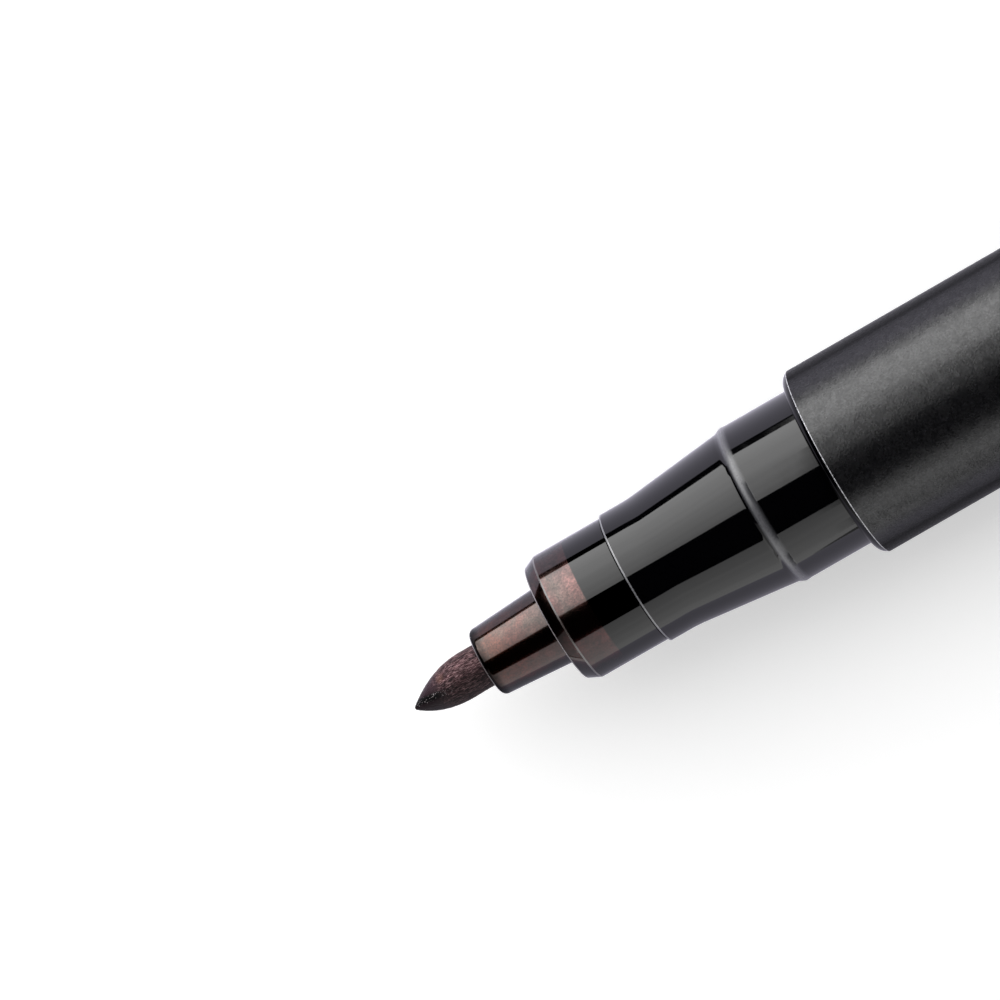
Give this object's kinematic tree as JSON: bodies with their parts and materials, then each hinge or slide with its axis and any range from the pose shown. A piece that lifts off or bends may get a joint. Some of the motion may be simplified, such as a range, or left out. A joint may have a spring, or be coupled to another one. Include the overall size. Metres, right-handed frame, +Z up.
{
  "type": "brush pen",
  "caption": "Brush pen with a bonded-fibre point in a stepped nib holder, a tubular matte barrel round an ink reservoir, and a clip cap posted on its rear end.",
  "frame": {"origin": "middle of the pen's length, on the surface it lies on, below its axis", "axes": "X along the pen's axis with the point towards -X and the posted cap towards +X, Z up with the clip on top, Y across the pen"},
  "size_m": [0.156, 0.011, 0.0132],
  "materials": {
    "barrel_plastic": "black moulded plastic with a fine matte grain",
    "section_plastic": "polished black plastic",
    "smoke_plastic": "polished smoke-brown plastic",
    "nib_fibre": "bonded fibre wet with ink",
    "reservoir_fibre": "bundled fibre soaked with ink",
    "reservoir_film": "thin clear film",
    "plug_plastic": "satin black plastic",
    "cap_plastic": "black moulded plastic with a fine matte grain",
    "liner_plastic": "natural translucent plastic",
    "clip_plastic": "satin black plastic",
    "button_plastic": "polished black plastic"
  },
  "bodies": {
    "pen": {"barrel": "barrel_plastic", "grip_section": "section_plastic", "nib_holder": "smoke_plastic", "brush_nib": "nib_fibre", "reservoir_core": "reservoir_fibre", "reservoir_film": "reservoir_film", "end_plug": "plug_plastic"},
    "cap": {"cap_shell": "cap_plastic", "cap_liner": "liner_plastic", "cap_clip": "clip_plastic", "cap_button": "button_plastic"}
  },
  "joints": [
    {"name": "cap_pull", "type": "slide", "parent": "pen", "child": "cap", "axis": [1, 0, 0], "range_m": [0, 0.03]}
  ]
}
